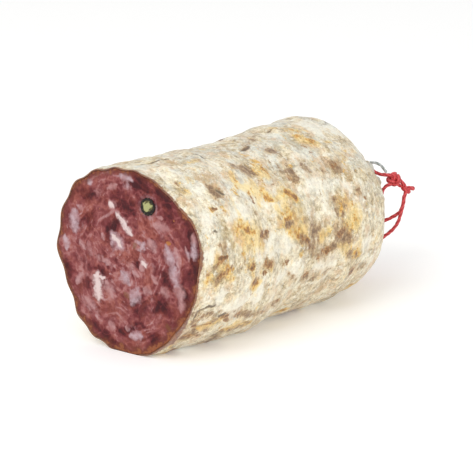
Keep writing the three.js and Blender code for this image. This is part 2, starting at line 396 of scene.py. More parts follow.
def makeStudio():
    scene = bpy.context.scene
    camera = bpy.data.objects.new("camera", bpy.data.cameras.new("camera"))
    camera.data.lens = studio["lens"]
    camera.data.sensor_width = 36
    camera.data.clip_start = 0.01
    aim(camera, lookFrom(studio["azimuth"], studio["elevation"], studio["distance"]))
    scene.camera = camera
    for name, azimuth, elevation, watts, size in studio["lights"]:
        light = bpy.data.objects.new(name, bpy.data.lights.new(name, "AREA"))
        light.data.energy = watts
        light.data.size = size
        aim(light, lookFrom(azimuth, elevation, studio["lightDistance"]))
    world = bpy.data.worlds.new("whiteRoom")
    world.use_nodes = True
    world.node_tree.nodes["Background"].inputs["Color"].default_value = (1, 1, 1, 1)
    world.node_tree.nodes["Background"].inputs["Strength"].default_value = studio["sky"]
    scene.world = world
    scene.view_settings.view_transform = "Standard"
    mesh = bpy.data.meshes.new("floor")
    half = studio["floorHalf"]
    corners = [(-half, -half, 0), (half, -half, 0), (half, half, 0), (-half, half, 0)]
    mesh.from_pydata(corners, [], [(0, 1, 2, 3)])
    floor = bpy.data.objects.new("floor", mesh)
    scene.collection.objects.link(floor)
    material, tree, shader = newMaterial("floorPaint")
    shader.inputs["Base Color"].default_value = paint(studio["floor"])
    shader.inputs["Roughness"].default_value = 0.9
    shader.inputs["Emission Color"].default_value = (1, 1, 1, 1)
    shader.inputs["Emission Strength"].default_value = studio["floorGlow"]
    mesh.materials.append(material)
    print("studio")


makeStudio()

# Strings: the red one first, then the grey one

redString = {
    "diameter": 1.15,
    "length": 0.1352,
    "plies": 3,
    "turnsPerMm": 0.16,
    "plyDepth": 0.2,
    "around": 20,
    "colour": (206, 62, 66),
    "shade": (150, 34, 42),
    "light": (226, 108, 108),
    "roughness": 0.55,
    "route": [  # over the neck, through both knots, down, round the loop, back up and under the neck
        (116.3, 7.4, 30.4), (116.3, 4.9, 34.0), (116.2, 0.8, 35.2), (116.1, -2.2, 34.3),
        (116.2, -4.8, 34.0), (117.4, -7.1, 34.0), (119.4, -8.0, 33.4), (121.4, -8.9, 31.4),
        (122.9, -9.8, 28.8), (121.3, -10.4, 25.6), (120.6, -10.4, 22.9), (119.7, -10.3, 20.6),
        (119.1, -9.9, 18.2), (118.6, -8.8, 16.0), (117.8, -7.3, 14.1), (116.4, -5.4, 12.2),
        (113.0, -3.0, 10.0), (108.6, -0.8, 8.3), (104.2, 1.3, 7.4), (101.0, 3.1, 7.7),
        (99.6, 4.1, 9.9), (101.0, 3.8, 12.4), (104.8, 2.4, 14.0), (109.6, 0.2, 15.3),
        (114.4, -2.4, 16.6), (117.6, -4.9, 17.7), (118.7, -7.2, 19.0), (120.3, -9.3, 20.9),
        (121.6, -9.6, 23.0), (122.3, -9.5, 25.5), (124.1, -9.1, 28.2), (121.8, -8.6, 29.6),
        (119.2, -8.0, 30.8), (116.6, -6.8, 30.5), (116.1, -5.3, 28.6), (116.2, -4.4, 25.8),
        (116.4, -1.4, 23.0), (116.4, 3.0, 22.5), (116.4, 6.5, 24.7), (116.3, 7.7, 28.7),
    ],
    "upperKnot": {"at": (118.9, -7.8, 32.4), "radius": 1.35, "turn": (0.5, -0.7, 0.3)},
    "knotHeart": {"at": (119.0, -7.8, 32.1), "radius": 0.75, "turn": (1.2, 0.4, -0.6)},
    "lowerKnot": {"at": (123.4, -9.5, 28.2), "radius": 1.15, "turn": (0.5, 0.35, 0.0)},
    "neckKnot": {"at": (116.4, 7.8, 29.5), "radius": 0.62, "turn": (1.4, 0.2, 0.0)},
    "tail": [(123.2, -9.6, 28.4), (125.0, -9.9, 28.5), (127.1, -10.2, 27.9)],
}


def curveThrough(points, step=0.25):
    # on each span a cubic whose slope at a point is half the step between its neighbours, in even steps
    p = np.asarray(points, float)
    p = np.vstack([2 * p[0] - p[1], p, 2 * p[-1] - p[-2]])
    t = (np.arange(24) / 24)[:, None]
    start, end = p[1:-2, None], p[2:-1, None]
    leave, arrive = (p[2:-1] - p[:-3])[:, None] / 2, (p[3:] - p[1:-2])[:, None] / 2
    line = (1 + 2 * t) * (1 - t) ** 2 * start + t * (1 - t) ** 2 * leave
    line = line + t * t * (3 - 2 * t) * end + t * t * (t - 1) * arrive
    line = np.vstack([line.reshape(-1, 3), p[-2]])
    run = np.concatenate([[0], np.cumsum(np.linalg.norm(np.diff(line, axis=0), axis=1))])
    even = np.linspace(0, run[-1], max(4, int(run[-1] / step)))
    return np.stack([np.interp(even, run, line[:, axis]) for axis in range(3)], -1)


def strandAlong(path, look, thickness=1.0):
    # a ring square to the path at each step; each ply swells it and turns round it; the ends are rounded
    tangent = np.gradient(path, axis=0)
    tangent /= np.linalg.norm(tangent, axis=1, keepdims=True)
    across = np.cross(tangent[0], (0.3, 0.5, 0.8))
    sides = []
    for direction in tangent:
        across = across - direction * across.dot(direction)
        across = across / np.linalg.norm(across)
        sides.append(across)
    sides = np.array(sides)[:, None]
    others = np.cross(tangent[:, None], sides)
    run = np.concatenate([[0], np.cumsum(np.linalg.norm(np.diff(path, axis=0), axis=1))])[:, None]
    turn = fullTurn(look["around"])
    swell = np.abs(np.cos(look["plies"] / 2 * (turn - 2 * np.pi * look["turnsPerMm"] * run)))
    full = look["diameter"] / 2 * thickness
    fromEnd = np.minimum(run, run[-1] - run) / full
    rounded = np.sqrt(np.clip(1 - (1 - np.clip(fromEnd, 0.02, 1)) ** 2, 0, 1))
    fray = 1 + 0.05 * np.sin(1.7 * run) + 0.03 * np.sin(4.1 * run + 2)
    radius = full * rounded * fray * (1 + look["plyDepth"] * (swell - 0.64))
    outward = np.cos(turn)[..., None] * sides + np.sin(turn)[..., None] * others
    # plyShade is painted shade: 1 in the grooves between the plies, 0 on their crowns
    return path[:, None] + radius[..., None] * outward, {"plyShade": 1 - swell * np.ones_like(radius)}


def turned(points, turn, at):
    # turned about Z, then Y, then X, and moved
    a, b, c = turn
    aboutX = np.array([[1, 0, 0], [0, math.cos(a), -math.sin(a)], [0, math.sin(a), math.cos(a)]])
    aboutY = np.array([[math.cos(b), 0, math.sin(b)], [0, 1, 0], [-math.sin(b), 0, math.cos(b)]])
    aboutZ = np.array([[math.cos(c), -math.sin(c), 0], [math.sin(c), math.cos(c), 0], [0, 0, 1]])
    return points @ (aboutX @ aboutY @ aboutZ).T + np.array(at)


def overhandPath(knot):
    # a strand that goes twice round while it rises and falls three times, its ends passing each other
    t = np.linspace(0, 4 * np.pi, 90)
    reach = knot["radius"] * (2 + np.cos(1.5 * t)) / 2
    line = np.stack([reach * np.cos(t), reach * np.sin(t), knot["radius"] * np.sin(1.5 * t) / 2], -1)
    return turned(line, knot["turn"], knot["at"])


def hitchPath(knot):
    # a strand that goes once and a half round, its end beside its start
    t = np.linspace(0, 3 * np.pi, 70)
    reach = knot["radius"] * (1 + 0.1 * np.sin(3 * t))
    line = np.stack([reach * np.cos(t), reach * np.sin(t), 0.5 * (t / (3 * np.pi) - 0.5)], -1)
    return turned(line, knot["turn"], knot["at"])


def stringMaterial(name, look):
    # painted shade in the grooves between the plies and painted light on their crowns, from the shade to the
    # light colour; a fibre noise makes it paler in places
    material, tree, shader = newMaterial(name)
    fibres = grain(tree, 0.35, 5, 0.6)
    tone = calc(tree, "MULTIPLY_ADD", attribute(tree, "plyShade"), -0.55, fibres)
    colour = ramp(tree, tone, [(0.0, look["shade"]), (0.38, look["colour"]), (0.75, look["light"])])
    join(tree, colour, shader.inputs["Base Color"])
    shader.inputs["Roughness"].default_value = look["roughness"]
    soak(shader, 0.08, (0.4, 0.15, 0.12), 1.0)
    bump(tree, shader, grain(tree, 0.18, 4, 0.6), 0.05, 0.6)
    return material


def makeRedString():
    # the cord, then the knots and the tail as rigid pieces that go with it
    material = stringMaterial("redString", redString)
    path = curveThrough(redString["route"])
    rings, looks = strandAlong(path, redString)
    loop = addGrid("hangingString", rings, looks, material, ["hanging_loop"])
    for name, line, thickness in (
        ("upperKnot", overhandPath(redString["upperKnot"]), 1.1),
        ("knotHeart", overhandPath(redString["knotHeart"]), 1.0),
        ("lowerKnot", hitchPath(redString["lowerKnot"]), 1.1),
        ("neckKnot", overhandPath(redString["neckKnot"]), 1.0),
        ("knotTail", curveThrough(redString["tail"]), 1.3),
    ):
        rings, looks = strandAlong(line, redString, thickness)
        addGrid(name, rings, looks, material, ["hanging_loop"])
    steps = np.linalg.norm(np.diff(path, axis=0), axis=1).sum() * mm
    print("red string", round(float(steps), 4), "m")


makeRedString()

greyTwine = {
    "diameter": 0.9,
    "pitch": 1.0,
    "turns": 2.5,
    "start": 112.5,
    "crest": 0.4,
    "gap": 0.3,
    "plies": 2,
    "turnsPerMm": 0.22,
    "plyDepth": 0.3,
    "around": 16,
    "colour": (172, 177, 176),
    "shade": (128, 130, 127),
    "light": (210, 213, 210),
    "roughness": 0.75,
    "end": [  # the arc's last points, over to the upper knot
        (114.3, 0.4, 36.8), (113.9, -1.6, 38.0), (114.5, -3.1, 38.1), (115.8, -4.5, 37.2),
        (117.2, -6.0, 34.7),
    ],
}


def makeGreyTwine():
    # turns round the neck just clear of its pleats, then an arc over to the upper knot
    steps = 12  # in each turn
    turn = np.arange(int(greyTwine["turns"] * steps) + 1) / steps
    x = greyTwine["start"] + turn * greyTwine["pitch"]
    angle = np.pi * (1 + 2 * turn)
    nearby = x + np.array([[-0.5], [0], [0.5]]) * greyTwine["pitch"]
    neck = smoothThrough(form["along"], form["radius"], nearby).max(0)
    reach = neck + greyTwine["crest"] + greyTwine["gap"] + greyTwine["diameter"] / 2
    y = smoothThrough(form["sideAt"], form["side"], x) - reach * np.sin(angle)
    z = smoothThrough(form["heightAt"], form["height"], x) + reach * np.cos(angle)
    path = curveThrough(np.vstack([np.stack([x, y, z], -1), greyTwine["end"]]), 0.2)
    rings, looks = strandAlong(path, greyTwine)
    addGrid("neckTwine", rings, looks, stringMaterial("greyTwine", greyTwine), ["neck_tie"])


makeGreyTwine()

# Casing

casing = {
    "around": 392,
    "step": 0.5,
    "thickness": 0.4,
    "recess": 4.0,
    "warp": 1.1,
    "lumps": 0.22,
    "wrinkles": 0.24,
    "crust": 0.12,
    "sunken": 0.16,
    "shoulderDent": (105.5, 5, 55, 34, 1.0),  # distance from the cut, reach, degrees, spread, depth
    "raggedEdge": [(142, 17, 1.0), (225, 40, 0.4), (79, 8, 0.4)],  # degrees, spread, strength
    "shownUpTo": 142,  # degrees: the hidden side starts here
    "seam": 352,  # degrees: the hidden side ends here, and angles past it count back from the top
    "fieldRadius": 29.0,
    "unseen": 90,
    # each kind of mark: how much wider than listed, share of unseen marks, their seed and widening
    "fields": {
        "bare": (1, 0.35, 7, 1.5), "ochre": (1, 0.2, 8, 0.8), "gold": (1, 0.3, 18, 1.8),
        "brown": (1.2, 0.3, 9, 1), "mould": (1, 0.3, 19, 2.6), "creases": (1.7, 0.12, 10, 0.24),
    },
    "goldUnderOchre": 0.6,
    # marks: distance from the cut and degrees from the top towards -Y at each end, half width in mm
    "bare": [
        (34, 25, 39.5, 35, 1.9), (52.5, 15, 55, 25, 1.7), (50.5, 35, 54, 47, 1.7),
        (58.5, 38, 66.5, 50, 2.0), (70, 41, 72.5, 51, 2.1), (65, 66, 67, 77, 1.7),
        (51, 74, 55.5, 83, 2.1), (48, 83, 60, 100, 2.5), (63.5, 82, 70, 94, 2.5),
        (68.5, 101, 75, 106, 1.7), (54.5, 114, 63, 111, 1.3), (56, 98, 63, 96, 2.0),
        (10, 125, 21, 118, 1.5), (24, 124, 33, 128, 1.3), (8.5, 73, 11, 77, 1.2), (6, 85, 10, 81, 1.4),
        (7.5, 96, 11, 87, 1.4), (28.5, 78, 34.5, 73, 1.3), (41, 73, 45, 72, 0.8), (30, 94, 32.5, 91, 1.4),
        (23.5, 106, 27.5, 100, 1.3), (34.5, 129, 40.5, 123, 1.4), (50.5, 113, 56, 108, 1.4),
        (3, 127, 6.5, 118, 1.4), (19.5, 139, 31.5, 135, 1.3), (46, 13, 59.5, -2, 1.0),
        (16.5, 37, 18.5, 46, 1.7), (73, 116, 80, 119, 1.3), (75, 66, 77.5, 65, 1.3),
        (60, 77, 59, 80, 1.3), (57.5, 97, 63, 104, 1.6), (42, 103, 46, 110, 1.2),
        (1.5, 118, 10, 120, 1.5),
    ],
    "ochre": [
        (45.5, 54, 49.5, 58, 0.8), (41.5, 70, 41.5, 75, 1.1), (45, 76, 47, 83, 0.8),
        (22.5, 68, 26, 71, 0.9), (22, 90, 24, 92, 0.8), (24.5, 103, 27, 104, 1.0),
        (44, 32, 43.5, 38, 0.8), (55, 37, 54.5, 39, 0.6), (71, 44, 71, 48, 0.8), (9.5, 90, 12, 89, 0.7),
        (19, 137, 23, 135, 0.5), (70, 19, 70.5, 25, 0.7), (75, 28, 78, 29, 0.5), (43.5, 25, 45, 27, 0.7),
        (10.5, 50, 11.5, 52, 0.5), (38.5, 54, 43, 55, 0.6), (48.5, 82, 50.5, 85, 0.8),
    ],
    "brown": [
        (70, 45, 72, 47, 0.9), (39, 40, 41, 42, 0.8), (38, 54, 42, 54, 0.9), (11, 51, 13, 51, 0.6),
        (12, 56, 12, 56, 0.5), (48, 82, 51, 87, 0.9), (51, 89, 54, 94, 0.8), (55, 99, 61, 98, 0.7),
        (64, 88, 68, 85, 1.1), (11, 73, 13, 76, 0.9), (8, 83, 11, 80, 0.7), (8, 93, 13, 87, 0.7),
        (32, 90, 30, 99, 0.7), (23, 105, 26, 101, 0.7), (49, 112, 55, 108, 0.6), (73, 119, 78, 120, 0.7),
        (34, 130, 39, 131, 0.6), (35, 124, 41, 122, 0.4), (22, 92, 24, 90, 0.8), (30, 98, 33, 91, 0.6),
        (28, 77, 32, 72, 0.6), (31, 48, 32, 55, 0.7), (9, 122, 13, 116, 0.8), (16, 126, 24, 122, 0.6),
        (5, 131, 12, 127, 0.6), (56, 99, 61.5, 97, 1.3), (5, 129, 6.5, 117, 0.8), (14, 123, 17, 121, 0.6),
        (32.5, 127, 37, 128, 0.7), (4.5, 143, 10.5, 139, 0.8), (29, 77, 33.5, 73, 0.7),
    ],
    "creases": [
        (26, 5, 29, 13, 0.3), (45, 13, 50, 10, 0.4), (96, -11, 87, 9, 0.2), (63, 1, 66, 1, 0.25),
        (2, 123, 5, 113, 0.3), (5, 113, 9, 110, 0.35), (13, 121, 16, 119, 0.35), (7, 65, 9, 66, 0.2),
        (18, 40, 20, 46, 0.3), (5, -4, 17, 3, 0.3), (35, -5, 44, 0, 0.3),
    ],
    "gold": [
        (44, 52, 50, 59, 2.1), (41, 61, 48, 83, 3.4), (17.5, 66, 29, 80, 3.4), (30, 42, 39.5, 54, 2.1),
        (67.5, 67, 72, 89, 2.9), (68.5, 14, 72, 27, 1.7), (21.5, 86, 24.5, 97, 1.7),
        (31, 90, 33, 97, 1.3), (6.5, 81, 13, 95, 1.9), (5.5, 36, 8, 35, 1.9), (3.5, 93, 9, 93, 1.9),
        (21.5, 90, 23.5, 92, 1.5), (24.5, 105, 28, 103, 1.5), (8, 133, 14.5, 123, 1.5),
        (19.5, 136, 31.5, 135, 1.5), (42.5, 30, 42.5, 40, 2.1), (30.5, 32, 27.5, 42, 1.3),
        (56, 87, 61, 84, 1.7), (66.5, -2, 73.5, 13, 1.3), (22, 68, 25, 66, 1.7), (25, 12, 19.5, 16, 0.8),
        (65, 94, 74.5, 106, 1.7),
    ],
    "mould": [
        (9.5, 36, 5, 58, 2.9), (26, 80, 41, 85, 3.4), (15.5, 113, 30.5, 101, 3.4),
        (2.5, 80, 4.5, 75, 1.9), (54.5, 55, 66, 53, 2.9), (77, 2, 85.5, 20, 2.9), (35.5, 53, 41, 61, 2.5),
        (56, 106, 66.5, 106, 2.5), (15.5, 60, 24, 58, 2.5), (69.5, 99, 82, 99, 2.5),
        (28.5, 40, 37.5, 48, 1.7), (56, 24, 62.5, 35, 1.7), (32.5, 87, 41, 84, 2.7),
        (6, 109, 11.5, 103, 1.9), (70, 57, 74, 62, 1.7), (38, 106, 49, 98, 2.1),
    ],
    # the darkest tone: painted shade in the hollows, also the colour of the brown flecks
    "hollowShadeAndFleck": (160, 138, 102),
    "tan": (202, 182, 142),
    "cream": (231, 216, 182),
    "pale": (245, 237, 212),
    "white": (247, 243, 226),
    "coolGrey": (223, 224, 212),
    "peach": (222, 192, 154),
    "thinWash": (222, 212, 192),
    "washes": [("ochre", (255, 235, 184), 0.9), ("bare", (238, 228, 218), 0.7)],  # tint and the most of it
    # where a stain's noise lies, how far that breaks it up and the level at which it starts
    "stains": [("ochre", 0.11, 5.4, 0.66), ("bare", 0.12, 5.4, 0.74), ("brown", 0.13, 5.0, 0.66)],
    "stainDepths": (0.0, 0.25, 0.55, 0.9),
    "ochrePaints": [(240, 217, 148), (230, 186, 96), (200, 141, 58), (142, 94, 44)],
    "barePaints": [(208, 182, 142), (180, 151, 113), (152, 121, 87), (116, 88, 62)],
    "brownPaints": [(206, 166, 110), (170, 122, 72), (134, 91, 52), (94, 66, 42)],
    "creaseShade": (112, 96, 76),
    "edge": (154, 96, 58),
    "edgeDark": (110, 60, 44),
}


def unseenMarks(count, seed):
    # marks by chance over the back and the underside, where the picture shows none
    chance = np.random.default_rng(seed)
    x = chance.uniform(4, 100, count)
    degrees = chance.uniform(casing["shownUpTo"], casing["seam"], count)
    length = chance.uniform(0, 7, count)
    lean = chance.uniform(-12, 12, count)
    half = chance.uniform(0.5, 1.7, count)
    return np.stack([x, degrees, x + length, degrees + lean, half], -1)


def casingFields(x, degrees, sway, jitter):
    # each kind of mark as a field over the skin, its outlines bent by the noise
    look = casing
    perDegree = look["fieldRadius"] * math.pi / 180
    wrapped = np.where(degrees > look["seam"], degrees - 360, degrees)
    along = x + look["warp"] * (2 * sway[..., 0] + 0.9 * jitter[..., 0])
    across = wrapped * perDegree + look["warp"] * (2 * sway[..., 1] + 0.9 * jitter[..., 1])
    fields = {}
    for label, (widen, share, seed, widenUnseen) in look["fields"].items():
        shown = np.array(look[label]) * [1, 1, 1, 1, widen]
        unseen = unseenMarks(int(look["unseen"] * share), seed) * [1, 1, 1, 1, widenUnseen]
        marks = np.vstack([shown, unseen]) * [1, perDegree, 1, perDegree, 1]
        fields[label] = markField(along, across, marks, label != "creases")
    fields["ochre"] = fields["ochre"] + look["goldUnderOchre"] * fields.pop("gold")
    return fields


def casingRows():
    # distance from the cut, depth under the skin and share of the radius of each row: from the middle of the
    # recess out to its wall, over the rim and along the skin to the tuft
    depth, inset, end = casing["recess"], casing["thickness"], form["tuftEnd"]
    rows = [(depth, 0, 0.25), (depth, 0, 0.6), (depth, inset, 0.99), (depth - 0.2, inset, 1), (2, inset, 1)]
    rows += [(0.7, inset, 1), (0.25, inset - 0.06, 1), (0.04, inset - 0.18, 1), (0, inset - 0.3, 1)]
    rows += [(0.1, inset - 0.44, 1), (0.4, 0.02, 1)]
    rows += [(x, 0, 1) for x in np.arange(0.9, end, casing["step"])]
    rows += [(end, 0, 0.8), (end - 0.3, 0, 0.55), (end - 0.6, 0, 0.3)]
    return [np.array(column, float)[:, None] for column in zip(*rows)]


def makeCasing():
    # the skin, raised by lumps, ridges, crust and small pleats and sunken at stains and creases
    look = casing
    x, off, shrink = casingRows()
    x, turn = np.broadcast_arrays(x, fullTurn(look["around"]))
    degrees = np.degrees(turn)
    radius = skinRadius(x, turn)
    flat = skinPoint(x, turn, radius)
    sway = np.stack([cloud(flat, 4.0, seed) - 0.5 for seed in (3, 4, 5)], -1)
    jitter = np.stack([cloud(flat, 1.6, seed) - 0.5 for seed in (6, 7)], -1)
    fields = casingFields(x, degrees, sway, jitter)
    bent = flat + 2.4 * sway
    roundGirth, lengthwise = np.array([1, 0.65, 0.65]), np.array([0.22, 1, 1])
    broad = clouds(bent, 6.0, 11, 2) - 0.5
    ridges = 1 - np.abs(2 * clouds(bent * roundGirth, 2.6, 21, 2) - 1) * 2
    folds = 1 - np.abs(2 * cloud(bent * lengthwise, 2.2, 31) - 1) * 2
    gather = ease(x, 84, 106)
    finePleat = np.abs(np.sin(19.5 * turn + 2 * np.sin(2 * turn + 0.05 * x))) - 0.6
    relief = look["lumps"] * 2 * broad * (1 - 0.6 * gather)
    wrinkled = (0.6 * ridges + 0.4 * folds) * (0.55 + 0.9 * cloud(bent, 9, 51))
    relief = relief + look["wrinkles"] * wrinkled
    relief = relief + look["crust"] * 2 * (clouds(flat, 1.3, 41, 2) - 0.5)
    relief = relief + 0.3 * finePleat * gather * np.clip(radius / 16, 0.2, 1)
    stained = np.maximum(fields["bare"], 0.8 * fields["brown"])
    relief = relief - look["sunken"] * ease(stained, 0.35, 0.65) - 0.35 * ease(fields["creases"], 0.3, 0.9)
    at, reach, middle, spread, depth = look["shoulderDent"]
    relief = relief - 0.1 - depth * np.exp(-(((x - at) / reach) ** 2) - ((degrees - middle) / spread) ** 2)
    body = ease(x, 0.3, 3.0) * ease(form["tuftEnd"] - x, 0.0, 3.0)
    relief = relief * np.where(off > 0, 0, 1) * (0.25 + 0.75 * body)
    points = skinPoint(x, turn, np.maximum(radius + relief - off, 0.2) * shrink)
    cutBack = sum(strength * bellRound(degrees, at, spread) for at, spread, strength in look["raggedEdge"])
    edge = 1 - ease(x, 0.1 + 1.4 * cutBack, 0.9 + 4.2 * cutBack)
    # painted light: the larger of how much the skin faces up and a rise towards the tied end that falls back
    # at the neck
    facing = np.cos(turn + math.radians(15)) * 0.5 + 0.5
    looks = {
        **fields,
        "raised": relief / (look["wrinkles"] + look["lumps"]) * 0.5 + 0.5,
        "paintedLight": np.maximum(facing, 0.85 * ease(x, 76, 98) - 0.5 * ease(x, 101, 107)),
        "edge": np.where(off > 0, 1.0, edge),
    }
    addGrid("casing", points, looks, casingMaterial(), ["sausage"])


def casingMaterial():
    # mould over dried gut: pale crests and tan hollows, partly the mould's own tone and partly painted light
    # on the crests and painted shade in the hollows; a noise added to a mark's field breaks up its stain
    look = casing
    material, tree, shader = newMaterial("casingSkin")
    roundGirth = (1, 1.7, 1.7)
    middle = grain(tree, 3.0, 6, 0.62, roundGirth, 0.02)
    small = grain(tree, 1.15, 6, 0.68, (1, 1.2, 1.2), 0.03)
    fine = grain(tree, 0.42, 4, 0.7, move=0.04)
    # painted light and shade: the relief makes crests paler and hollows darker, and noise adds the mould's
    # own tone
    level = swing(tree, attribute(tree, "raised"), 0.34, calc(tree, "MULTIPLY", middle, 0.5))
    level = calc(tree, "MULTIPLY_ADD", small, 0.35, level)
    level = calc(tree, "MULTIPLY_ADD", fine, 0.15, level)
    level = swing(tree, level, 1.5, 0.5)
    stops = [(0.34, look["hollowShadeAndFleck"]), (0.44, look["tan"]), (0.52, look["cream"]), (0.64, look["pale"])]
    colour = ramp(tree, level, stops)
    # cool grey in patches, painted stronger where the skin faces up and over the tied end as light from
    # above; peach in patches, greyer where the mould is thin
    cool = between(tree, grain(tree, 6.5, 5, 0.6, move=0.05), 0.44, 0.6, 0, 0.8)
    cool = calc(tree, "MULTIPLY", cool, between(tree, attribute(tree, "paintedLight"), 0.3, 0.95, 0.25, 1))
    colour = blend(tree, cool, colour, look["coolGrey"])
    patches = grain(tree, 4.2, 6, 0.64, roundGirth, 0.06)
    colour = cover(tree, colour, look["peach"], patches, 0.5, 0.64, 0.75)
    mould = swing(tree, grain(tree, 6.0, 4, 0.6, roundGirth, 0.15), 4.5, attribute(tree, "mould"))
    colour = cover(tree, colour, look["thinWash"], mould, 0.1, -0.8, 0.9, "MULTIPLY")
    flecks = grain(tree, 1.6, 6, 0.72, (1, 1.3, 1.3), 0.08)
    colour = cover(tree, colour, look["hollowShadeAndFleck"], flecks, 0.54, 0.64, 0.5)
    dust = grain(tree, 2.0, 6, 0.7, move=0.07)
    colour = cover(tree, colour, look["white"], dust, 0.52, 0.62, 0.7)
    colour = cover(tree, colour, look["white"], mould, 0.15, 1.15, 0.75)
    # a thin wash round each stain, then the stain itself, darker the further inside
    broken = calc(tree, "MULTIPLY", grain(tree, 1.3, 6, 0.72, move=0.09), 0.6)
    broken = calc(tree, "MULTIPLY_ADD", fine, 0.4, broken)
    for label, tint, most in look["washes"]:
        wash = swing(tree, middle, 2.0, attribute(tree, label))
        colour = cover(tree, colour, tint, wash, 0.05, 0.6, most, "MULTIPLY")
    for label, move, breakUp, low in look["stains"]:
        inside = swing(tree, grain(tree, 3.0, 7, 0.7, roundGirth, move), breakUp, attribute(tree, label))
        inside = calc(tree, "MULTIPLY_ADD", calc(tree, "MAXIMUM", mould, 0.0), -0.15, inside)
        depth = calc(tree, "MULTIPLY", calc(tree, "SUBTRACT", inside, low), 0.75)
        depth = calc(tree, "MULTIPLY_ADD", calc(tree, "SUBTRACT", broken, 0.46), 4.0, depth)
        shade = ramp(tree, depth, list(zip(look["stainDepths"], look[label + "Paints"])))
        colour = cover(tree, colour, shade, inside, low - 0.12, low + 0.22, 0.92)
    # painted shade along the creases
    crease = swing(tree, small, 0.9, attribute(tree, "creases"))
    colour = cover(tree, colour, look["creaseShade"], crease, 0.38, 0.75, 0.85)
    # brown along the cut edge, fine specks over everything but thick mould
    rim = blend(tree, between(tree, small, 0.4, 0.6), look["edge"], look["edgeDark"])
    colour = cover(tree, colour, rim, swing(tree, broken, 4, attribute(tree, "edge")), 0.15, 0.85, 0.95)
    speck = calc(tree, "MULTIPLY_ADD", fine, 0.5, calc(tree, "MULTIPLY", small, 0.5))
    speck = between(tree, speck, 0.38, 0.58, 0.74, 1.02)
    colour = blend(tree, between(tree, mould, 0.1, 1.0, 1.0, 0.5), colour, speck, "MULTIPLY")
    join(tree, colour, shader.inputs["Base Color"])
    join(tree, between(tree, small, 0.3, 0.7, 0.72, 0.92), shader.inputs["Roughness"])
    shader.inputs["Sheen Weight"].default_value = 0.25
    shader.inputs["Sheen Roughness"].default_value = 0.5
    shader.inputs["Sheen Tint"].default_value = (0.94, 0.95, 1.0, 1)
    soak(shader, 0.06, (1.0, 0.6, 0.35), 1.0)
    rise = calc(tree, "MULTIPLY_ADD", small, 0.8, calc(tree, "MULTIPLY", fine, 0.5))
    bump(tree, shader, rise, 0.6, 0.6)
    return material


makeCasing()

# Cut meat

